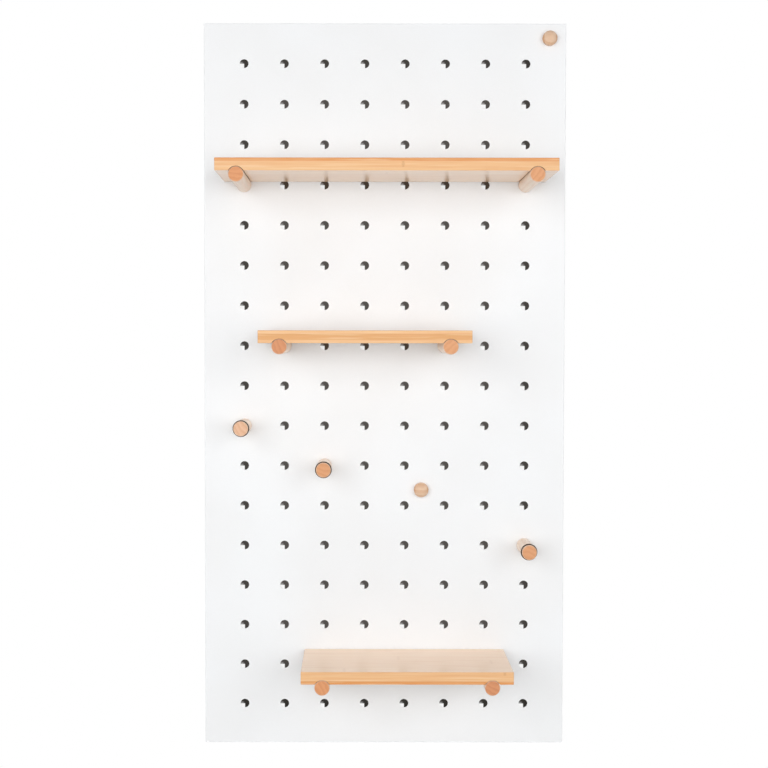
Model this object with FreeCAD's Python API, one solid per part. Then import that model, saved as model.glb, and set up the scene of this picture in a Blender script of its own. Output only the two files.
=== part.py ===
import FreeCAD, Part
import math
import os

os.makedirs("parts", exist_ok=True)

# Axes: X along the board's width, Y from the room towards the wall, Z up, in millimetres.
# The origin lies in the plane of the wall, at the centre of the four keyholes.

# Grid of peg holes
HOLE_COLUMNS = 8
HOLE_ROWS = 17
HOLE_PITCH = 50.0
HOLE_DIAMETER = 11.0
EDGE_MARGIN = 50.0

# Folded steel board
BOARD_DEPTH = 15.0
SHEET = 1.2
INSIDE_BEND = 0.8
LIP_WIDTH = 28.0
LIP_MITRE_GAP = 0.8

# Keyholes in the upper and lower lips
KEYHOLE_SPACING = 300.0
KEYHOLE_FROM_EDGE = 14.0
KEYHOLE_ENTRY = 10.0
KEYHOLE_SLOT = 5.0
KEYHOLE_RISE = 6.0

# Turned pins and pegs
PEG_DIAMETER = 18.0
PEG_CHAMFER = 0.8
COAT_PEG_REACH = 60.0
TENON_LENGTH = 8.0
TENON_CLEARANCE = 0.3
TENON_CHAMFER = 1.0

# Rubber rings in the holes and round the ends of the coat pegs
HOLE_RING_SECTION = 1.6
HOLE_RING_GAP = 0.05
GRIP_RING_SECTION = 2.6
GRIP_RING_STANDS_OUT = 1.15
GRIP_RING_FROM_FRONT = 5.5
RING_GROOVE_PLAY = 0.1

# Shelves
SHELF_DEPTH = 120.0
SHELF_THICKNESS = 15.0
SHELF_OVERHANG = 25.0
SHELF_EDGE_ROUND = 0.8
PIN_SINK = 5.0
GROOVE_PLAY = 2.0

# Magnet knobs
KNOB_DIAMETER = 18.0
KNOB_SIDE = 6.0
KNOB_DOME = 5.0
KNOB_BACK_CHAMFER = 0.5
MAGNET_DIAMETER = 12.0
MAGNET_THICKNESS = 3.0
MAGNET_GLUE_GAP = 0.1

# Gap between pieces that come apart by hand
SEAT_GAP = 0.3

# Where things sit: columns count from the left and rows from the top, both from 0
SHELVES = {
    "upper": {"row": 3, "left_column": 0, "right_column": 7},
    "middle": {"row": 7, "left_column": 1, "right_column": 5},
    "lower": {"row": 15, "left_column": 2, "right_column": 6},
}
COAT_PEGS = {
    "left": {"row": 9, "column": 0},
    "middle": {"row": 10, "column": 2},
    "right": {"row": 12, "column": 7},
}
# Knobs are set by their distances from the board's right and upper edges
KNOBS = {
    "top": {"from_right": 21.0, "from_top": 19.0},
    "centre": {"from_right": 179.0, "from_top": 580.0},
}

BOARD_WIDTH = (HOLE_COLUMNS - 1) * HOLE_PITCH + 2 * EDGE_MARGIN
BOARD_HEIGHT = (HOLE_ROWS - 1) * HOLE_PITCH + 2 * EDGE_MARGIN
FRONT_FACE = -BOARD_DEPTH
SHEET_BACK = FRONT_FACE + SHEET
PEG_RADIUS = PEG_DIAMETER / 2
ALONG_Y = FreeCAD.Vector(0, 1, 0)


def save(name, shape):
    """Write one piece as a STEP file under its own name."""
    shape.exportStep(os.path.join("parts", name + ".step"))


def hole_x(column):
    return (column - (HOLE_COLUMNS - 1) / 2) * HOLE_PITCH


def hole_z(row):
    return ((HOLE_ROWS - 1) / 2 - row) * HOLE_PITCH


def block(low, high):
    """Box between two opposite corners."""
    size = [high[i] - low[i] for i in range(3)]
    return Part.makeBox(*size, FreeCAD.Vector(*low))


def rod(radius, x, z, y_start, y_end):
    """Cylinder along Y."""
    return Part.makeCylinder(radius, y_end - y_start, FreeCAD.Vector(x, y_start, z), ALONG_Y)


def turned(profile, x, z):
    """Turn a closed profile about its own axis, which runs along Y, and set it at x and z.

    Each point of the profile is a pair of radius and y. A list of three points is an arc.
    """
    edges = []
    for span in profile:
        points = [FreeCAD.Vector(radius, y, 0) for radius, y in span]
        if len(points) == 3:
            edges.append(Part.Arc(*points).toShape())
        else:
            edges.append(Part.LineSegment(*points).toShape())
    solid = Part.Face(Part.Wire(edges)).revolve(FreeCAD.Vector(0, 0, 0), ALONG_Y, 360)
    solid.translate(FreeCAD.Vector(x, 0, z))
    return solid


def straight_spans(points):
    """Pairs of neighbouring points round a closed outline."""
    return [[points[i], points[(i + 1) % len(points)]] for i in range(len(points))]


def folded_shell(inset, bend):
    """Solid tray blank, inset from the outer skin, with its front and back edges bent."""
    half_width = BOARD_WIDTH / 2 - inset
    half_height = BOARD_HEIGHT / 2 - inset
    blank = block((-half_width, FRONT_FACE + inset, -half_height), (half_width, -inset, half_height))
    folds = []
    for edge in blank.Edges:
        direction = edge.tangentAt(edge.FirstParameter)
        if abs(direction.y) < 0.5:
            folds.append(edge)
    return blank.makeFillet(bend, folds)


def keyhole(x, entry_z):
    """Round entry for a screw head, with a narrower slot above it for the shank."""
    slot_radius = KEYHOLE_SLOT / 2
    slot_top = entry_z + KEYHOLE_RISE
    entry = rod(KEYHOLE_ENTRY / 2, x, entry_z, -2 * SHEET, SHEET)
    slot = block((x - slot_radius, -2 * SHEET, entry_z), (x + slot_radius, SHEET, slot_top))
    return entry.fuse([slot, rod(slot_radius, x, slot_top, -2 * SHEET, SHEET)])


def lip_mitre(side_x, side_z):
    """Narrow cut at 45 degrees between two neighbouring lips, from one inner corner outwards."""
    inner_x = BOARD_WIDTH / 2 - LIP_WIDTH
    inner_z = BOARD_HEIGHT / 2 - LIP_WIDTH
    length = math.sqrt(2) * (LIP_WIDTH - SHEET)
    half_gap = LIP_MITRE_GAP / 2
    cut = block((-LIP_MITRE_GAP, -2 * SHEET, -half_gap), (length, SHEET, half_gap))
    cut.rotate(FreeCAD.Vector(0, 0, 0), FreeCAD.Vector(0, -1, 0), math.degrees(math.atan2(side_z, side_x)))
    cut.translate(FreeCAD.Vector(side_x * inner_x, 0, side_z * inner_z))
    return cut


def make_board():
    """Punched front, four returns, four mitred lips and four keyholes, all of one sheet."""
    tray = folded_shell(0, INSIDE_BEND + SHEET).cut(folded_shell(SHEET, INSIDE_BEND))
    inner_x = BOARD_WIDTH / 2 - LIP_WIDTH
    inner_z = BOARD_HEIGHT / 2 - LIP_WIDTH
    cuts = [block((-inner_x, -2 * SHEET, -inner_z), (inner_x, SHEET, inner_z))]
    for side_x in (-1, 1):
        for side_z in (-1, 1):
            cuts.append(lip_mitre(side_x, side_z))
            entry_z = side_z * (BOARD_HEIGHT / 2 - KEYHOLE_FROM_EDGE)
            cuts.append(keyhole(side_x * KEYHOLE_SPACING / 2, entry_z))
    for column in range(HOLE_COLUMNS):
        for row in range(HOLE_ROWS):
            punch = rod(HOLE_DIAMETER / 2, hole_x(column), hole_z(row), FRONT_FACE - SHEET, SHEET_BACK + SHEET)
            cuts.append(punch)
    return tray.cut(cuts)


def make_peg(x, z, reach, with_grip_groove):
    """Turned dowel with a shoulder in front of the sheet and a tenon that passes its hole."""
    shoulder = FRONT_FACE - SEAT_GAP
    front = FRONT_FACE - reach
    tail = shoulder + TENON_LENGTH
    tenon_radius = HOLE_DIAMETER / 2 - TENON_CLEARANCE
    neck_radius = HOLE_DIAMETER / 2 - HOLE_RING_GAP - HOLE_RING_SECTION - RING_GROOVE_PLAY / 2
    neck_end = shoulder + HOLE_RING_SECTION + 2 * RING_GROOVE_PLAY
    outline = [
        (0, front),
        (PEG_RADIUS - PEG_CHAMFER, front),
        (PEG_RADIUS, front + PEG_CHAMFER),
    ]
    if with_grip_groove:
        floor = grip_ring_inner_radius() - RING_GROOVE_PLAY / 2
        half_width = GRIP_RING_SECTION / 2 + RING_GROOVE_PLAY
        middle = front + GRIP_RING_FROM_FRONT
        outline += [
            (PEG_RADIUS, middle - half_width),
            (floor, middle - half_width),
            (floor, middle + half_width),
            (PEG_RADIUS, middle + half_width),
        ]
    outline += [
        (PEG_RADIUS, shoulder - PEG_CHAMFER),
        (PEG_RADIUS - PEG_CHAMFER, shoulder),
        (neck_radius, shoulder),
        (neck_radius, neck_end),
        (tenon_radius, neck_end),
        (tenon_radius, tail - TENON_CHAMFER),
        (tenon_radius - TENON_CHAMFER, tail),
        (0, tail),
    ]
    return turned(straight_spans(outline), x, z)


def make_ring(x, z, outer_radius, section, middle_y):
    """Rubber ring of round section about a peg's axis."""
    centre = FreeCAD.Vector(x, middle_y, z)
    return Part.makeTorus(outer_radius - section / 2, section / 2, centre, ALONG_Y)


def make_hole_ring(x, z):
    """Ring in the tenon's neck, level with the sheet, at the size it has inside the hole."""
    middle = FRONT_FACE - SEAT_GAP + HOLE_RING_SECTION / 2 + RING_GROOVE_PLAY
    return make_ring(x, z, HOLE_DIAMETER / 2 - HOLE_RING_GAP, HOLE_RING_SECTION, middle)


def grip_ring_inner_radius():
    return PEG_RADIUS + GRIP_RING_STANDS_OUT - GRIP_RING_SECTION


def make_grip_ring(x, z):
    """Ring near the front end of a coat peg, which keeps things from sliding off."""
    middle = FRONT_FACE - COAT_PEG_REACH + GRIP_RING_FROM_FRONT
    return make_ring(x, z, PEG_RADIUS + GRIP_RING_STANDS_OUT, GRIP_RING_SECTION, middle)


def make_shelf(row, left_column, right_column):
    """Board with eased edges and a round-bottomed groove over each of its two pins.

    Each groove is a little wider than its pin, so that the shelf lifts off easily.
    """
    pin_z = hole_z(row)
    underside = pin_z + PEG_RADIUS - PIN_SINK
    left = hole_x(left_column) - SHELF_OVERHANG
    right = hole_x(right_column) + SHELF_OVERHANG
    front = FRONT_FACE - SHELF_DEPTH
    back = FRONT_FACE - SEAT_GAP
    board = block((left, front, underside), (right, back, underside + SHELF_THICKNESS))
    board = board.makeFillet(SHELF_EDGE_ROUND, board.Edges)
    groove_radius = PEG_RADIUS + GROOVE_PLAY / 2
    groove_z = pin_z + PEG_RADIUS + SEAT_GAP - groove_radius
    grooves = []
    for column in (left_column, right_column):
        grooves.append(rod(groove_radius, hole_x(column), groove_z, front - SHEET, back + SHEET))
    return board.cut(grooves)


def make_knob(x, z):
    """Turned knob: straight side, domed front, and a seat for its magnet in the flat back."""
    back = FRONT_FACE - SEAT_GAP
    radius = KNOB_DIAMETER / 2
    rim = back - KNOB_SIDE
    dome_radius = (radius ** 2 + KNOB_DOME ** 2) / (2 * KNOB_DOME)
    half_angle = math.asin(radius / dome_radius) / 2
    dome_centre = rim - KNOB_DOME + dome_radius
    halfway = (dome_radius * math.sin(half_angle), dome_centre - dome_radius * math.cos(half_angle))
    seat_radius = MAGNET_DIAMETER / 2 + MAGNET_GLUE_GAP
    seat_floor = back - MAGNET_THICKNESS - MAGNET_GLUE_GAP
    top = (0, rim - KNOB_DOME)
    spans = [
        [top, halfway, (radius, rim)],
        [(radius, rim), (radius, back - KNOB_BACK_CHAMFER)],
        [(radius, back - KNOB_BACK_CHAMFER), (radius - KNOB_BACK_CHAMFER, back)],
        [(radius - KNOB_BACK_CHAMFER, back), (seat_radius, back)],
        [(seat_radius, back), (seat_radius, seat_floor)],
        [(seat_radius, seat_floor), (0, seat_floor)],
        [(0, seat_floor), top],
    ]
    return turned(spans, x, z)


def make_magnet(x, z):
    """Disc magnet, its face level with the back of the knob."""
    back = FRONT_FACE - SEAT_GAP
    return rod(MAGNET_DIAMETER / 2, x, z, back - MAGNET_THICKNESS, back)


save("steel_board", make_board())

for level, place in SHELVES.items():
    save(level + "_shelf", make_shelf(**place))
    for side in ("left", "right"):
        pin_name = level + "_shelf_" + side + "_pin"
        x, z = hole_x(place[side + "_column"]), hole_z(place["row"])
        save(pin_name, make_peg(x, z, SHELF_DEPTH, False))
        save(pin_name + "_ring", make_hole_ring(x, z))

for side, place in COAT_PEGS.items():
    peg_name = side + "_coat_peg"
    x, z = hole_x(place["column"]), hole_z(place["row"])
    save(peg_name, make_peg(x, z, COAT_PEG_REACH, True))
    save(peg_name + "_hole_ring", make_hole_ring(x, z))
    save(peg_name + "_grip_ring", make_grip_ring(x, z))

for where, place in KNOBS.items():
    x = BOARD_WIDTH / 2 - place["from_right"]
    z = BOARD_HEIGHT / 2 - place["from_top"]
    save(where + "_knob", make_knob(x, z))
    save(where + "_knob_magnet", make_magnet(x, z))
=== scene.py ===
import bmesh
import bpy
import math
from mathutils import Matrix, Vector


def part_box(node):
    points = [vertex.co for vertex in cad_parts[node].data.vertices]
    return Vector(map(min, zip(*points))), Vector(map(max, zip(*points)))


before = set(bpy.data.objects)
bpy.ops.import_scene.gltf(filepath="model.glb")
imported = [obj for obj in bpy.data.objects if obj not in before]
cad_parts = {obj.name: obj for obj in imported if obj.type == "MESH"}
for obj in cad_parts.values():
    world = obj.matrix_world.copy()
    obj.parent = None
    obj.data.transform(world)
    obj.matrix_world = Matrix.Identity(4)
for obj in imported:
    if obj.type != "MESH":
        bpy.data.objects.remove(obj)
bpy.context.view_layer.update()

# Studio: the camera stands 1.7 m in front of the wall and a little to the left. Soft boxes stand about
# 30 degrees to its left and right, with a fill between them, and others light only the board's back and
# edges. All round is plain white, and the pale floor lies well below the board, which hangs on a wall.
CAMERA_PLACE = (-0.03293, -1.73674, 0.06472)
CAMERA_TURN_DEGREES = (88.1838, -0.0647, -0.0555)
CAMERA_LENS = 64.594
CAMERA_SHIFT = (0.03182, -0.00818)
SURROUND_LIGHT = 0.33
FLOOR_HEIGHT = -1.2
FLOOR_RADIUS = 1.7
FLOOR_FADE = 0.6
FLOOR_LIFT = 0.45
SOFT_BOXES = {
    "left_soft_box": {"place": (-1.1, -2.0, 0.3), "size": (1.0, 1.4), "level": 0.258},
    "right_soft_box": {"place": (1.2, -2.0, 0.3), "size": (1.0, 1.4), "level": 0.222},
    "front_soft_box": {"place": (-0.05, -2.1, 0.18), "size": (0.8, 0.7), "level": 0.258, "glints": False},
}
BOARD_LAMPS = {
    "back_soft_box": {"place": (0.3, 1.9, 0.3), "size": (1.2, 1.2), "level": 0.50},
    "left_edge_light": {"place": (-2.0, 0.15, 0.0), "size": (0.3, 1.4), "level": 0.20, "glints": False},
    "right_edge_light": {"place": (2.0, 0.15, 0.0), "size": (0.3, 1.4), "level": 0.20, "glints": False},
    "top_edge_light": {"place": (0.0, 0.15, 2.0), "size": (1.4, 0.3), "level": 0.18, "glints": False},
    "bottom_edge_light": {"place": (0.0, 0.10, -1.1), "size": (1.4, 0.3), "level": 0.20, "glints": False},
}

scene = bpy.context.scene
scene.view_settings.view_transform = "Standard"

camera_data = bpy.data.cameras.new("camera")
camera_data.sensor_width = 36
camera_data.lens = CAMERA_LENS
camera_data.shift_x, camera_data.shift_y = CAMERA_SHIFT
camera_data.clip_start = 0.05
camera_data.clip_end = 30
camera = bpy.data.objects.new("camera", camera_data)
camera.location = CAMERA_PLACE
camera.rotation_euler = [math.radians(turn) for turn in CAMERA_TURN_DEGREES]
scene.collection.objects.link(camera)
scene.camera = camera


def soft_box(name, place, size, level, glints=True):
    """Lamp aimed at the middle of the board. A surface there that faces it gets this level of light."""
    data = bpy.data.lights.new(name, "AREA")
    data.shape = "RECTANGLE"
    data.size, data.size_y = size
    aim = Vector(place)
    data.energy = level * math.pi ** 2 * aim.length_squared
    lamp = bpy.data.objects.new(name, data)
    lamp.location = aim
    lamp.rotation_euler = aim.to_track_quat("Z", "Y").to_euler()
    lamp.visible_camera = False
    lamp.visible_glossy = glints
    scene.collection.objects.link(lamp)
    return lamp


for name, box in SOFT_BOXES.items():
    soft_box(name, **box)

board_alone = bpy.data.collections.new("board_alone")
board_alone.objects.link(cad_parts["steel_board"])
for name, box in BOARD_LAMPS.items():
    soft_box(name, **box).light_linking.receiver_collection = board_alone


def plug(tree, socket, value):
    """Give an input a fixed value, or a link from another node's output."""
    if isinstance(value, bpy.types.NodeSocket):
        tree.links.new(value, socket)
    else:
        socket.default_value = value


def add_node(tree, kind, inputs=None, **settings):
    """Add a node, set its options and plug its inputs."""
    made = tree.nodes.new(kind)
    for option, value in settings.items():
        setattr(made, option, value)
    for name, value in (inputs or {}).items():
        plug(tree, made.inputs[name], value)
    return made


def calc(tree, operation, first, second=0.0, third=0.0):
    """One step of arithmetic on numbers or outputs of nodes."""
    step = add_node(tree, "ShaderNodeMath", {0: first, 1: second, 2: third}, operation=operation)
    return step.outputs["Value"]


def rise(tree, value, start, end, low=0.0, high=1.0):
    """Smooth rise from low to high as the value goes from start to end."""
    limits = {"Value": value, "From Min": start, "From Max": end, "To Min": low, "To Max": high}
    step = add_node(tree, "ShaderNodeMapRange", limits, interpolation_type="SMOOTHSTEP")
    return step.outputs["Result"]


def new_tree(owner):
    """Empty node tree of a material or a world."""
    owner.use_nodes = True
    owner.node_tree.nodes.clear()
    return owner.node_tree


def seen_directly(tree):
    """1 where a thing is seen, also by reflection or through glass, and 0 where it only gives light."""
    path = add_node(tree, "ShaderNodeLightPath").outputs
    seen = calc(tree, "MAXIMUM", path["Is Camera Ray"], path["Is Glossy Ray"])
    return calc(tree, "MAXIMUM", seen, path["Is Transmission Ray"])


surround = bpy.data.worlds.new("white_surround")
scene.world = surround
tree = new_tree(surround)
strength = calc(tree, "MULTIPLY_ADD", seen_directly(tree), 1 - SURROUND_LIGHT, SURROUND_LIGHT)
light = add_node(tree, "ShaderNodeBackground", {"Color": (1, 1, 1, 1), "Strength": strength})
add_node(tree, "ShaderNodeOutputWorld", {"Surface": light.outputs["Background"]})

floor_mesh = bpy.data.meshes.new("floor")
form = bmesh.new()
bmesh.ops.create_circle(form, cap_ends=True, segments=96, radius=FLOOR_RADIUS)
form.to_mesh(floor_mesh)
form.free()
floor = bpy.data.objects.new("floor", floor_mesh)
floor.location.z = FLOOR_HEIGHT
scene.collection.objects.link(floor)


def display(red, green, blue):
    """Colour that shows as these values of 0 to 255 in plain white light."""
    shares = [value / 255 for value in (red, green, blue)]
    linear = [share / 12.92 if share <= 0.04045 else ((share + 0.055) / 1.055) ** 2.4 for share in shares]
    return (*linear, 1.0)


FLOOR_PALE = display(246, 246, 245)
floor_paint = bpy.data.materials.new("pale_floor")
tree = new_tree(floor_paint)
place = add_node(tree, "ShaderNodeTexCoord").outputs["Object"]
from_middle = add_node(tree, "ShaderNodeVectorMath", {0: place}, operation="LENGTH").outputs["Value"]
fade = rise(tree, from_middle, FLOOR_RADIUS - FLOOR_FADE, FLOOR_RADIUS)
pale = add_node(tree, "ShaderNodeBsdfDiffuse", {"Color": FLOOR_PALE}).outputs["BSDF"]
lift = calc(tree, "MULTIPLY", seen_directly(tree), FLOOR_LIFT)
glow = add_node(tree, "ShaderNodeEmission", {"Strength": lift}).outputs["Emission"]
lifted = add_node(tree, "ShaderNodeAddShader", {0: pale, 1: glow}).outputs["Shader"]
clear = add_node(tree, "ShaderNodeBsdfTransparent").outputs["BSDF"]
faded = add_node(tree, "ShaderNodeMixShader", {0: fade, 1: lifted, 2: clear})
add_node(tree, "ShaderNodeOutputMaterial", {"Surface": faded.outputs["Shader"]})
floor_mesh.materials.append(floor_paint)

# Steel board: one sheet of 1.2 mm steel, punched in a grid of holes, folded back on all four sides and
# turned in again as a lip along the wall. It is powder coated satin white, which leaves it faintly pebbled.
POWDER_WHITE = display(247, 249, 251)
POWDER_SHADE = display(243, 244, 245)
PEBBLE = 0.0013
PEBBLE_RELIEF = 0.000012
SPECKLE = 0.0004
CLOUD = 0.12
NOISE_SPAN = (0.3, 0.7)
PATCH_SPAN = (0.35, 0.65)
SATIN_ROUGHNESS = (0.40, 0.50)


def noise(tree, vector, grain, detail=2.0):
    """Random value of 0 to 1 that changes over the grain's length in metres along each axis."""
    fineness = [1 / length for length in grain]
    scaled = add_node(tree, "ShaderNodeVectorMath", {0: vector, 1: fineness}, operation="MULTIPLY")
    inputs = {"Vector": scaled.outputs["Vector"], "Scale": 1.0, "Detail": detail}
    return add_node(tree, "ShaderNodeTexNoise", inputs).outputs["Fac"]


def mix_colours(tree, share, first, second):
    """Colour that goes from the first to the second as the share goes from 0 to 1."""
    mixer = add_node(tree, "ShaderNodeMix", data_type="RGBA")
    sockets = {socket.identifier: socket for socket in mixer.inputs}
    plug(tree, sockets["Factor_Float"], share)
    plug(tree, sockets["A_Color"], first)
    plug(tree, sockets["B_Color"], second)
    return next(socket for socket in mixer.outputs if socket.identifier == "Result_Color")


def finish_surface(tree, inputs, height, relief):
    """Principled surface with these inputs, and a bump whose height of 1 is this relief in metres."""
    bump = add_node(tree, "ShaderNodeBump", {"Height": height, "Distance": relief})
    shader = add_node(tree, "ShaderNodeBsdfPrincipled", {"Normal": bump.outputs["Normal"], **inputs})
    add_node(tree, "ShaderNodeOutputMaterial", {"Surface": shader.outputs["BSDF"]})


powder_coat = bpy.data.materials.new("satin_white_powder_coat")
tree = new_tree(powder_coat)
place = add_node(tree, "ShaderNodeTexCoord").outputs["Object"]
pebbles = noise(tree, place, (PEBBLE,) * 3)
speckles = noise(tree, place, (SPECKLE,) * 3, detail=1.0)
clouds = noise(tree, place, (CLOUD,) * 3)
uneven = calc(tree, "ADD", calc(tree, "MULTIPLY", speckles, 0.5), calc(tree, "MULTIPLY", clouds, 0.5))
finish_surface(
    tree,
    {
        "Base Color": mix_colours(tree, rise(tree, uneven, *PATCH_SPAN), POWDER_WHITE, POWDER_SHADE),
        "Roughness": rise(tree, clouds, *NOISE_SPAN, *SATIN_ROUGHNESS),
    },
    pebbles,
    PEBBLE_RELIEF,
)
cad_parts["steel_board"].data.materials[0] = powder_coat

# Wall behind the board: it shows only through the free holes, and glows with a painted colour: painted
# shade, darkest near the edges and under a shelf, and in each hole a painted spot of light, low and to the
# left, where light from beside the camera would fall in; the spot is dimmer under a shelf. It is part of the
# studio, and only its front shows.
HOLE_PITCH = 0.050
WALL_GAP = 0.0005
LIP = 0.0285
SPOT_CORNER = (0.0001, -0.0004)
SPOT_SIZE = 0.007
SPOT_BLUR = 0.0004
GLOW_REACH = 0.0036
GLOW_SHARE = 0.35
SHELF_SHADE = 0.14
SHELF_SHADE_REACH = 0.02
WALL_SHADE = display(85, 81, 78)
WALL_EDGE_SHADE = display(50, 47, 44)
WALL_SHELF_SHADE = display(68, 58, 50)
WALL_LIT = display(247, 247, 247)
EDGE_SHADE_ACROSS = (0.25, 0.11)
EDGE_SHADE_UPRIGHT = (0.44, 0.33)
SHADE_MIDDLE_HEIGHT = 0.02

board_low, board_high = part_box("steel_board")
gap_share = (-WALL_GAP - board_low.y) / (-WALL_GAP - CAMERA_PLACE[1])
spot_pitch = HOLE_PITCH / (1 - gap_share)


def spot_place(tree, along, camera_along):
    """Distance from the nearest hole's middle, where a lamp beside the camera would throw the painted spot.
    """
    shifted = calc(tree, "ADD", along, camera_along * gap_share / (1 - gap_share))
    cell = calc(tree, "FRACT", calc(tree, "DIVIDE", shifted, spot_pitch))
    return calc(tree, "MULTIPLY", calc(tree, "SUBTRACT", cell, 0.5), spot_pitch)


wall_mesh = bpy.data.meshes.new("wall_behind_holes")
form = bmesh.new()
corners = [
    (board_low.x + LIP, board_low.z + LIP),
    (board_high.x - LIP, board_low.z + LIP),
    (board_high.x - LIP, board_high.z - LIP),
    (board_low.x + LIP, board_high.z - LIP),
]
form.faces.new([form.verts.new((x, -WALL_GAP, z)) for x, z in corners])
form.to_mesh(wall_mesh)
form.free()
wall = bpy.data.objects.new("wall_behind_holes", wall_mesh)
wall.visible_diffuse = False
wall.visible_transmission = False
wall.visible_shadow = False
scene.collection.objects.link(wall)

wall_paint = bpy.data.materials.new("shaded_wall")
tree = new_tree(wall_paint)
place = add_node(tree, "ShaderNodeTexCoord").outputs["Object"]
along = add_node(tree, "ShaderNodeSeparateXYZ", {0: place}).outputs
# The middle of the board lies between two of its 8 columns of holes, and on one of its 17 rows.
across = spot_place(tree, along["X"], CAMERA_PLACE[0])
upright = spot_place(tree, calc(tree, "ADD", along["Z"], HOLE_PITCH / 2), CAMERA_PLACE[2])
left_of_edge = calc(tree, "SUBTRACT", SPOT_CORNER[0], across)
under_edge = calc(tree, "SUBTRACT", SPOT_CORNER[1], upright)
wide = rise(tree, left_of_edge, -SPOT_BLUR, SPOT_BLUR)
tall = rise(tree, under_edge, -SPOT_BLUR, SPOT_BLUR)
reach = calc(tree, "MAXIMUM", left_of_edge, under_edge)
within = rise(tree, reach, SPOT_SIZE, SPOT_SIZE - SPOT_BLUR)
lit = calc(tree, "MULTIPLY", calc(tree, "MULTIPLY", wide, tall), within)
by_shelf = 0.0
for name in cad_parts:
    if name.endswith("_shelf"):
        low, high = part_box(name)
        from_shelf = calc(tree, "ABSOLUTE", calc(tree, "SUBTRACT", along["Z"], low.z))
        from_shelf_middle = calc(tree, "ABSOLUTE", calc(tree, "SUBTRACT", along["X"], (low.x + high.x) / 2))
        under = calc(tree, "LESS_THAN", from_shelf, SHELF_SHADE_REACH)
        beside = calc(tree, "LESS_THAN", from_shelf_middle, (high.x - low.x) / 2)
        by_shelf = calc(tree, "MULTIPLY_ADD", under, beside, by_shelf)
lit = calc(tree, "MULTIPLY", lit, calc(tree, "MULTIPLY_ADD", by_shelf, -SHELF_SHADE, 1.0))
near_above = rise(tree, under_edge, -GLOW_REACH, 0)
near_left = rise(tree, left_of_edge, 0, GLOW_REACH)
glow = calc(tree, "MULTIPLY", calc(tree, "MULTIPLY", near_above, near_left), GLOW_SHARE)
from_middle = calc(tree, "ABSOLUTE", along["X"])
from_middle_height = calc(tree, "ABSOLUTE", calc(tree, "SUBTRACT", along["Z"], SHADE_MIDDLE_HEIGHT))
in_columns = rise(tree, from_middle, *EDGE_SHADE_ACROSS)
in_rows = rise(tree, from_middle_height, *EDGE_SHADE_UPRIGHT)
shade = mix_colours(tree, calc(tree, "MULTIPLY", in_columns, in_rows), WALL_EDGE_SHADE, WALL_SHADE)
shade = mix_colours(tree, by_shelf, shade, WALL_SHELF_SHADE)
colour = mix_colours(tree, calc(tree, "MAXIMUM", lit, glow), shade, WALL_LIT)
painted = add_node(tree, "ShaderNodeEmission", {"Color": colour})
clear = add_node(tree, "ShaderNodeBsdfTransparent")
from_behind = add_node(tree, "ShaderNodeNewGeometry").outputs["Backfacing"]
sides = {0: from_behind, 1: painted.outputs["Emission"], 2: clear.outputs["BSDF"]}
one_sided = add_node(tree, "ShaderNodeMixShader", sides)
add_node(tree, "ShaderNodeOutputMaterial", {"Surface": one_sided.outputs["Shader"]})
wall_mesh.materials.append(wall_paint)

# Shelves: boards of bamboo strips glued up in two thin face layers and a thicker core, all with the grain
# along the shelf. Each layer has its own tone, which shows as bands along the front. The boards are sanded
# and oiled, but the grooves that are routed for the pins stay raw, and they are painted dark as shade in
# the narrow gap round each pin.
SHELF_THICKNESS = 0.015
FACE_LAYER = 0.004
STRIP = 0.020
STRIP_STAGGER = 0.37
FIBRE_GRAIN = (0.05, 0.0006, 0.0006)
STREAK_GRAIN = (0.08, 0.0060, 0.0020)
STRIP_SHIFT = (0.7, 0.013, 0.017)
DARK_STREAK_SPAN = (0.50, 0.66)
DARK_STREAKS = 0.60
PALE_STREAK_SPAN = (0.46, 0.34)
PALE_STREAKS = 0.45
STRIP_TONE = 0.30
FIBRE_TONE = 0.25
UNEVEN_SPAN = (0.15, 0.50)
UNEVEN_STRIPS = 0.25
KNUCKLE_SHUFFLE = 5.0
KNUCKLE_SPACING = 0.80
KNUCKLE_SHARE = 0.35
KNUCKLE_EDGE = (0.0045, 0.0025)
KNUCKLE_WANDER = 0.004
GLUE_LINE = 0.00012
GLUE_SHARE = 0.35
BAMBOO_FLAT_AND_PAINTED_LIGHT = display(255, 218, 180)
FLAT_CONTRAST = 0.35
BAMBOO_CREAM = display(245, 210, 166)
BAMBOO_STREAK = display(226, 166, 110)
BAMBOO_KNUCKLE = display(190, 128, 76)
GROOVE_PAINTED_SHADE = display(124, 82, 54)
BUNDLE_SPAN = (0.42, 0.60)
BUNDLE_SHARE = (0.15, 0.55)
GROOVE_START = (0.0012, 0.0020)
GROOVE_FACING = (0.0, -0.1)
BAMBOO_RELIEF = 0.00001
BAMBOO_ROUGHNESS = (0.30, 0.42)
RAW_ROUGHER = 0.5
BAMBOO_OIL = 0.8
BAMBOO_OIL_ROUGHNESS = 0.22
BOUNCED_SATURATION = 0.65
BOUNCED_BRIGHTNESS = 0.78
BAMBOO_PALE = display(234, 185, 132)
BAMBOO_HONEY = display(217, 157, 91)
BAMBOO_AMBER = display(220, 146, 76)
SHELVES = {
    "upper_shelf": {"seed": 3.0, "layers": (BAMBOO_PALE, BAMBOO_PALE, BAMBOO_AMBER)},
    "middle_shelf": {"seed": 11.0, "layers": (BAMBOO_PALE, BAMBOO_HONEY, BAMBOO_PALE)},
    "lower_shelf": {"seed": 7.0, "layers": (BAMBOO_AMBER, BAMBOO_PALE, BAMBOO_PALE)},
}


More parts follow.
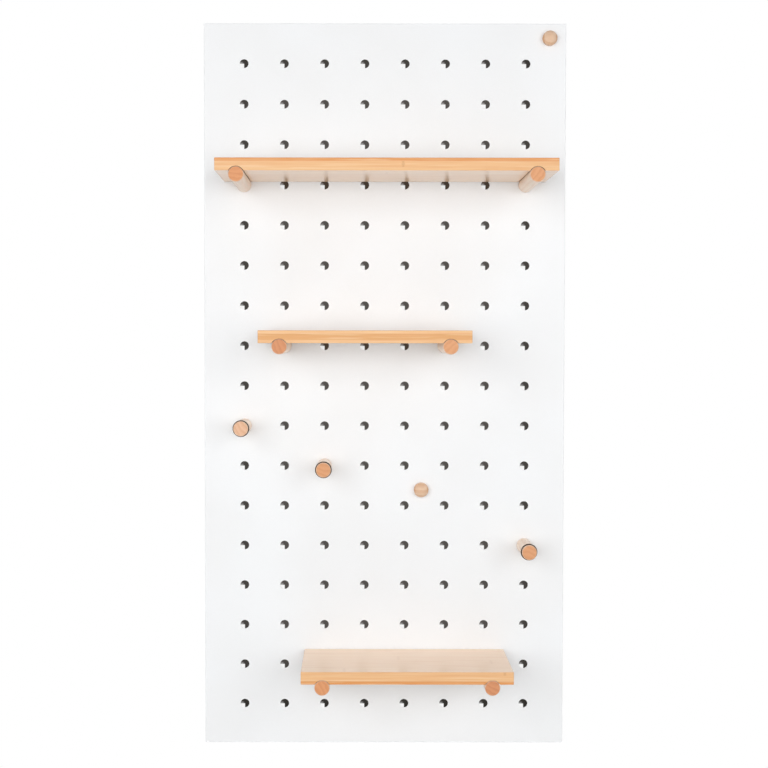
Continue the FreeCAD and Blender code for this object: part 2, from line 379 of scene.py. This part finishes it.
def new_group(name, inputs, outputs):
    """Empty shader node group with named inputs at their usual values, and named outputs of these kinds."""
    kinds = {1: "NodeSocketFloat", 3: "NodeSocketVector", 4: "NodeSocketColor"}
    group = bpy.data.node_groups.new(name, "ShaderNodeTree")
    for label, usual in inputs.items():
        size = len(usual) if isinstance(usual, tuple) else 1
        socket = group.interface.new_socket(name=label, in_out="INPUT", socket_type=kinds[size])
        socket.default_value = usual
    for label, kind in outputs.items():
        group.interface.new_socket(name=label, in_out="OUTPUT", socket_type=kind)
    return group, group.nodes.new("NodeGroupInput").outputs, group.nodes.new("NodeGroupOutput").inputs


def facing(tree, normal, axis):
    """1 on surfaces that face along an axis, either way, and 0 on the others."""
    share = add_node(tree, "ShaderNodeSeparateXYZ", {0: normal}).outputs[axis]
    return rise(tree, calc(tree, "ABSOLUTE", share), 0.6, 0.8)


def thin_line(tree, place, spacing, width):
    """1 on thin lines that lie this far apart, and 0 between them."""
    cell = calc(tree, "FRACT", calc(tree, "ADD", calc(tree, "DIVIDE", place, spacing), 0.5))
    distance = calc(tree, "MULTIPLY", calc(tree, "ABSOLUTE", calc(tree, "SUBTRACT", cell, 0.5)), spacing)
    return rise(tree, distance, width, width / 2)


bamboo, given, made = new_group(
    "Laminated Bamboo",
    {
        "Vector": (0.0, 0.0, 0.0),
        "Normal": (0.0, 0.0, 1.0),
        "Underside": 0.0,
        "Seed": 0.0,
        "Bottom Layer": BAMBOO_PALE,
        "Middle Layer": BAMBOO_PALE,
        "Top Layer": BAMBOO_PALE,
    },
    {
        "Color": "NodeSocketColor",
        "Roughness": "NodeSocketFloat",
        "Oil": "NodeSocketFloat",
        "Height": "NodeSocketFloat",
    },
)
tree = bamboo
along = add_node(tree, "ShaderNodeSeparateXYZ", {0: given["Vector"]}).outputs
height = calc(tree, "SUBTRACT", along["Z"], given["Underside"])
over_bottom = calc(tree, "GREATER_THAN", height, FACE_LAYER)
over_middle = calc(tree, "GREATER_THAN", height, SHELF_THICKNESS - FACE_LAYER)
layer = calc(tree, "ADD", over_bottom, over_middle)
strip_place = calc(tree, "MULTIPLY_ADD", layer, STRIP_STAGGER * STRIP, along["Y"])
strip = calc(tree, "FLOOR", calc(tree, "DIVIDE", strip_place, STRIP))
cell = add_node(tree, "ShaderNodeCombineXYZ", {"X": layer, "Y": strip, "Z": given["Seed"]}).outputs["Vector"]
tone = add_node(tree, "ShaderNodeTexWhiteNoise", {"Vector": cell}).outputs["Value"]
offset = add_node(tree, "ShaderNodeVectorMath", {0: cell, 1: STRIP_SHIFT}, operation="MULTIPLY")
shifted = add_node(
    tree, "ShaderNodeVectorMath", {0: given["Vector"], 1: offset.outputs["Vector"]}, operation="ADD"
).outputs["Vector"]
fibres = noise(tree, shifted, FIBRE_GRAIN, detail=3.0)
streaks = noise(tree, shifted, STREAK_GRAIN, detail=3.0)

colour = mix_colours(tree, over_bottom, given["Bottom Layer"], given["Middle Layer"])
colour = mix_colours(tree, over_middle, colour, given["Top Layer"])
flat = facing(tree, given["Normal"], "Z")
# Tops and undersides take a colour of their own: partly their face grain, and partly painted light that
# makes them paler to make up for the little lamp light that reaches faces looking up or down.
colour = mix_colours(tree, flat, colour, BAMBOO_FLAT_AND_PAINTED_LIGHT)
contrast = calc(tree, "MULTIPLY_ADD", flat, FLAT_CONTRAST - 1, 1.0)
dark_streaks = rise(tree, streaks, *DARK_STREAK_SPAN, 0.0, DARK_STREAKS)
dark_streaks = calc(tree, "MULTIPLY", dark_streaks, contrast)
colour = mix_colours(tree, dark_streaks, colour, BAMBOO_STREAK)
pale_streaks = rise(tree, streaks, *PALE_STREAK_SPAN, 0.0, PALE_STREAKS)
pale_streaks = calc(tree, "MULTIPLY", pale_streaks, contrast)
colour = mix_colours(tree, pale_streaks, colour, BAMBOO_CREAM)
uneven = calc(tree, "MULTIPLY_ADD", tone, STRIP_TONE, calc(tree, "MULTIPLY", fibres, FIBRE_TONE))
darker = rise(tree, uneven, *UNEVEN_SPAN, 0.0, UNEVEN_STRIPS)
colour = mix_colours(tree, darker, colour, BAMBOO_STREAK)

spacings = calc(tree, "DIVIDE", along["X"], KNUCKLE_SPACING)
spacings = calc(tree, "MULTIPLY_ADD", tone, KNUCKLE_SHUFFLE, spacings)
from_knuckle = calc(tree, "ABSOLUTE", calc(tree, "SUBTRACT", calc(tree, "FRACT", spacings), 0.5))
wander = calc(tree, "MULTIPLY", streaks, KNUCKLE_WANDER)
knuckle = rise(tree, calc(tree, "MULTIPLY_ADD", from_knuckle, KNUCKLE_SPACING, wander), *KNUCKLE_EDGE)
knuckle_share = calc(tree, "MULTIPLY", calc(tree, "MULTIPLY", knuckle, KNUCKLE_SHARE), contrast)
colour = mix_colours(tree, knuckle_share, colour, BAMBOO_KNUCKLE)

from_core = calc(tree, "ABSOLUTE", calc(tree, "SUBTRACT", height, SHELF_THICKNESS / 2))
from_joint = calc(tree, "ABSOLUTE", calc(tree, "SUBTRACT", from_core, SHELF_THICKNESS / 2 - FACE_LAYER))
layer_line = rise(tree, from_joint, GLUE_LINE, GLUE_LINE / 2)
strip_line = thin_line(tree, strip_place, STRIP, GLUE_LINE)
glue = calc(tree, "MAXIMUM", layer_line, strip_line)
colour = mix_colours(tree, calc(tree, "MULTIPLY", glue, GLUE_SHARE), colour, BAMBOO_KNUCKLE)

cut_end = facing(tree, given["Normal"], "X")
bundle = rise(tree, fibres, *BUNDLE_SPAN, *BUNDLE_SHARE)
colour = mix_colours(tree, calc(tree, "MULTIPLY", cut_end, bundle), colour, BAMBOO_KNUCKLE)
up = add_node(tree, "ShaderNodeSeparateXYZ", {0: given["Normal"]}).outputs["Z"]
facing_down = rise(tree, up, *GROOVE_FACING)
in_groove = calc(tree, "MULTIPLY", rise(tree, height, *GROOVE_START), facing_down)
# Painted shade: the groove surfaces are coloured dark for the shade in the gap round each pin.
colour = mix_colours(tree, in_groove, colour, GROOVE_PAINTED_SHADE)
plug(tree, made["Color"], colour)
sanded = rise(tree, fibres, *NOISE_SPAN, *BAMBOO_ROUGHNESS)
plug(tree, made["Roughness"], calc(tree, "MULTIPLY_ADD", in_groove, RAW_ROUGHER, sanded))
plug(tree, made["Oil"], calc(tree, "MULTIPLY_ADD", in_groove, -BAMBOO_OIL, BAMBOO_OIL))
plug(tree, made["Height"], calc(tree, "SUBTRACT", fibres, glue))

# Only for light that bounces off it, the wood's colour is made dimmer and greyer, so that the light
# that it throws on the board is dimmer and nearly neutral.
for name, shelf in SHELVES.items():
    material = bpy.data.materials.new(name + "_bamboo")
    tree = new_tree(material)
    texture = add_node(tree, "ShaderNodeTexCoord").outputs
    bottom, middle, top = shelf["layers"]
    inputs = {
        "Vector": texture["Object"],
        "Normal": texture["Normal"],
        "Underside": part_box(name)[0].z,
        "Seed": shelf["seed"],
        "Bottom Layer": bottom,
        "Middle Layer": middle,
        "Top Layer": top,
    }
    wood = add_node(tree, "ShaderNodeGroup", inputs, node_tree=bamboo).outputs
    bounced = {
        "Color": wood["Color"],
        "Fac": add_node(tree, "ShaderNodeLightPath").outputs["Is Diffuse Ray"],
        "Saturation": BOUNCED_SATURATION,
        "Value": BOUNCED_BRIGHTNESS,
    }
    finish = {
        "Base Color": add_node(tree, "ShaderNodeHueSaturation", bounced).outputs["Color"],
        "Roughness": wood["Roughness"],
        "Coat Weight": wood["Oil"],
        "Coat Roughness": BAMBOO_OIL_ROUGHNESS,
    }
    finish_surface(tree, finish, wood["Height"], BAMBOO_RELIEF)
    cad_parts[name].data.materials[0] = material

# Shelf pins: dowels turned from beech and oiled, with a chamfered front and a tenon that passes a hole in
# the steel. The long grain is pale with short flecks, and the cut ends are darker, with bands of growth.
YEAR = 0.0058
YEAR_WANDER = 0.009
WANDER_GRAIN = (0.012, 0.09, 0.012)
PITH_DISTANCE = 0.045
SUMMER_WOOD = (0.10, 0.75)
WINTER_STOP = (1.0, 0.80)
YEAR_TONE = 0.55
BEECH_FIBRE_TONE = 0.45
BEECH_FIBRE_GRAIN = (0.0005, 0.03, 0.0005)
FLECK_GRAIN = (0.0004, 0.0022, 0.0004)
FLECK_SPAN = (0.62, 0.70)
FLECK_SHARE = 0.30
BEECH_LIGHT = display(252, 232, 210)
BEECH_DARK = display(242, 210, 182)
PALE_ENDS = (display(236, 192, 158), display(220, 168, 132))
HONEY_ENDS = (display(225, 165, 119), display(211, 145, 98))
AMBER_ENDS = (display(223, 157, 108), display(208, 136, 86))
BROWN_ENDS = (display(216, 148, 103), display(198, 128, 84))
BEECH_FLECK = display(176, 122, 82)
BEECH_RELIEF = 0.000015
BEECH_ROUGHNESS = (0.40, 0.52)
CUT_END_ROUGHER = 0.12
BEECH_OIL = 0.4
BEECH_OIL_ROUGHNESS = 0.25

turned_wood, given, made = new_group(
    "Turned Wood",
    {
        "Vector": (0.0, 0.0, 0.0),
        "Normal": (0.0, 1.0, 0.0),
        "Turn": 0.0,
        "Light Grain": BEECH_LIGHT,
        "Dark Grain": BEECH_DARK,
        "Light End": HONEY_ENDS[0],
        "Dark End": HONEY_ENDS[1],
    },
    {"Color": "NodeSocketColor", "Roughness": "NodeSocketFloat", "Height": "NodeSocketFloat"},
)
tree = turned_wood
turn = {"Vector": given["Vector"], "Angle": given["Turn"]}
turned = add_node(tree, "ShaderNodeVectorRotate", turn, rotation_type="Y_AXIS").outputs["Vector"]
along = add_node(tree, "ShaderNodeSeparateXYZ", {0: turned}).outputs
from_pith = add_node(
    tree,
    "ShaderNodeCombineXYZ",
    {"X": calc(tree, "ADD", along["X"], PITH_DISTANCE), "Z": along["Z"]},
).outputs["Vector"]
radius = add_node(tree, "ShaderNodeVectorMath", {0: from_pith}, operation="LENGTH").outputs["Value"]
wander = noise(tree, turned, WANDER_GRAIN)
years = calc(tree, "DIVIDE", calc(tree, "MULTIPLY_ADD", wander, YEAR_WANDER, radius), YEAR)
season = calc(tree, "FRACT", years)
late = calc(tree, "MULTIPLY", rise(tree, season, *SUMMER_WOOD), rise(tree, season, *WINTER_STOP))
fibres = noise(tree, turned, BEECH_FIBRE_GRAIN, detail=3.0)
flecks = rise(tree, noise(tree, turned, FLECK_GRAIN, detail=1.0), *FLECK_SPAN)
fibre_tone = calc(tree, "MULTIPLY", fibres, BEECH_FIBRE_TONE)
grain = calc(tree, "MULTIPLY_ADD", late, YEAR_TONE, fibre_tone)
side = mix_colours(tree, grain, given["Light Grain"], given["Dark Grain"])
cut = mix_colours(tree, grain, given["Light End"], given["Dark End"])
cut_end = facing(tree, given["Normal"], "Y")
colour = mix_colours(tree, cut_end, side, cut)
colour = mix_colours(tree, calc(tree, "MULTIPLY", flecks, FLECK_SHARE), colour, BEECH_FLECK)
plug(tree, made["Color"], colour)
along_grain = rise(tree, fibres, *NOISE_SPAN, *BEECH_ROUGHNESS)
plug(tree, made["Roughness"], calc(tree, "MULTIPLY_ADD", cut_end, CUT_END_ROUGHER, along_grain))
plug(tree, made["Height"], calc(tree, "SUBTRACT", fibres, flecks))


def from_own_middle(tree, name):
    """Place on a turned piece, measured from its middle, and the way its surface faces there."""
    low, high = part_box(name)
    texture = add_node(tree, "ShaderNodeTexCoord").outputs
    difference = {0: texture["Object"], 1: (low + high) / 2}
    place = add_node(tree, "ShaderNodeVectorMath", difference, operation="SUBTRACT").outputs["Vector"]
    return place, texture["Normal"]


def dowel_material(name, turn, ends):
    """Beech with its grain along this dowel, turned by this angle, with these two colours on its ends."""
    material = bpy.data.materials.new(name + "_beech")
    tree = new_tree(material)
    place, normal = from_own_middle(tree, name)
    inputs = {
        "Vector": place,
        "Normal": normal,
        "Turn": math.radians(turn),
        "Light End": ends[0],
        "Dark End": ends[1],
    }
    wood = add_node(tree, "ShaderNodeGroup", inputs, node_tree=turned_wood).outputs
    finish = {
        "Base Color": wood["Color"],
        "Roughness": wood["Roughness"],
        "Coat Weight": BEECH_OIL,
        "Coat Roughness": BEECH_OIL_ROUGHNESS,
    }
    finish_surface(tree, finish, wood["Height"], BEECH_RELIEF)
    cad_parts[name].data.materials[0] = material


PINS = {
    "upper_shelf_left_pin": {"turn": 82, "ends": AMBER_ENDS},
    "upper_shelf_right_pin": {"turn": 140, "ends": HONEY_ENDS},
    "middle_shelf_left_pin": {"turn": 20, "ends": BROWN_ENDS},
    "middle_shelf_right_pin": {"turn": 310, "ends": HONEY_ENDS},
    "lower_shelf_left_pin": {"turn": 205, "ends": AMBER_ENDS},
    "lower_shelf_right_pin": {"turn": 60, "ends": BROWN_ENDS},
}
for name, wood in PINS.items():
    dowel_material(name, **wood)

# Coat pegs: shorter dowels of the same oiled beech, pushed into free holes. Each is turned like the pins,
# with one more groove near its front end for a rubber ring that keeps a loop from slipping off.
COAT_PEGS = {
    "left_coat_peg": {"turn": 35, "ends": PALE_ENDS},
    "middle_coat_peg": {"turn": 75, "ends": HONEY_ENDS},
    "right_coat_peg": {"turn": 250, "ends": HONEY_ENDS},
}
for name, wood in COAT_PEGS.items():
    dowel_material(name, **wood)

# Rubber rings: moulded rings of black rubber with a fine parting line where the two halves of the mould met.
# One sits round the tenon of each dowel and grips its hole, and one stands round the front of each coat peg.
RUBBER_BLACK = display(52, 36, 26)
RUBBER_DUSTY = display(64, 48, 37)
PARTING_LINE = 0.00012
DUST_GRAIN = (0.003, 0.003, 0.003)
DUST_SPAN = (0.45, 0.70)
RUBBER_RELIEF = 0.00003
RUBBER_ROUGHNESS = (0.55, 0.70)
RUBBER_SPECULAR = 0.2

moulded_rubber, given, made = new_group(
    "Moulded Rubber",
    {"Vector": (0.0, 0.0, 0.0), "Middle Depth": 0.0},
    {"Color": "NodeSocketColor", "Roughness": "NodeSocketFloat", "Height": "NodeSocketFloat"},
)
tree = moulded_rubber
depth = add_node(tree, "ShaderNodeSeparateXYZ", {0: given["Vector"]}).outputs["Y"]
from_middle = calc(tree, "ABSOLUTE", calc(tree, "SUBTRACT", depth, given["Middle Depth"]))
parting = rise(tree, from_middle, PARTING_LINE, PARTING_LINE / 2)
dust = noise(tree, given["Vector"], DUST_GRAIN, detail=4.0)
dusty = rise(tree, dust, *DUST_SPAN)
plug(tree, made["Color"], mix_colours(tree, dusty, RUBBER_BLACK, RUBBER_DUSTY))
plug(tree, made["Roughness"], rise(tree, dust, *NOISE_SPAN, *RUBBER_ROUGHNESS))
plug(tree, made["Height"], calc(tree, "SUBTRACT", dust, parting))

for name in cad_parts:
    if name.endswith("_ring"):
        low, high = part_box(name)
        material = bpy.data.materials.new(name + "_rubber")
        tree = new_tree(material)
        place = add_node(tree, "ShaderNodeTexCoord").outputs["Object"]
        inputs = {"Vector": place, "Middle Depth": (low.y + high.y) / 2}
        rubber = add_node(tree, "ShaderNodeGroup", inputs, node_tree=moulded_rubber).outputs
        finish = {
            "Base Color": rubber["Color"],
            "Roughness": rubber["Roughness"],
            "Specular IOR Level": RUBBER_SPECULAR,
        }
        finish_surface(tree, finish, rubber["Height"], RUBBER_RELIEF)
        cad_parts[name].data.materials[0] = material

# Knobs: turned from paler maple with the grain across them, with a straight side and a domed front, and
# oiled thinly. They have no pin: a magnet in the back holds each anywhere on the steel between the holes.
MAPLE_LIGHT = display(234, 203, 175)
MAPLE_DARK = display(219, 176, 141)
MAPLE_END = display(206, 156, 114)
KNOB_TURNS = {"top_knob": 15, "centre_knob": 80}
for name, turn in KNOB_TURNS.items():
    material = bpy.data.materials.new(name + "_maple")
    tree = new_tree(material)
    across = {}
    for label, vector in zip(("Vector", "Normal"), from_own_middle(tree, name)):
        quarter_turn = {"Vector": vector, "Angle": math.radians(90)}
        turned = add_node(tree, "ShaderNodeVectorRotate", quarter_turn, rotation_type="Z_AXIS")
        across[label] = turned.outputs["Vector"]
    inputs = {
        **across,
        "Turn": math.radians(turn),
        "Light Grain": MAPLE_LIGHT,
        "Dark Grain": MAPLE_DARK,
        "Light End": MAPLE_DARK,
        "Dark End": MAPLE_END,
    }
    wood = add_node(tree, "ShaderNodeGroup", inputs, node_tree=turned_wood).outputs
    finish = {"Base Color": wood["Color"], "Roughness": wood["Roughness"]}
    finish_surface(tree, finish, wood["Height"], BEECH_RELIEF)
    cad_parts[name].data.materials[0] = material

# Magnets: small discs of pressed neodymium, plated with nickel against rust and glued into the knobs' backs.
# Their faces lie level with the wood and carry fine scratches from the steel that they are pulled off.
NICKEL_BRIGHT = display(214, 210, 203)
NICKEL_DULL = display(186, 181, 173)
SCRATCH_GRAIN = (0.004, 0.001, 0.00015)
TARNISH_GRAIN = (0.003, 0.003, 0.003)
SCRATCH_RELIEF = 0.000004
NICKEL_ROUGHNESS = (0.18, 0.34)
nickel = bpy.data.materials.new("nickel_plating")
tree = new_tree(nickel)
place = add_node(tree, "ShaderNodeTexCoord").outputs["Object"]
scratches = noise(tree, place, SCRATCH_GRAIN, detail=4.0)
dull = noise(tree, place, TARNISH_GRAIN)
finish_surface(
    tree,
    {
        "Base Color": mix_colours(tree, rise(tree, dull, *PATCH_SPAN), NICKEL_BRIGHT, NICKEL_DULL),
        "Metallic": 1.0,
        "Roughness": rise(tree, scratches, *NOISE_SPAN, *NICKEL_ROUGHNESS),
    },
    scratches,
    SCRATCH_RELIEF,
)
for knob in KNOB_TURNS:
    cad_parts[knob + "_magnet"].data.materials[0] = nickel
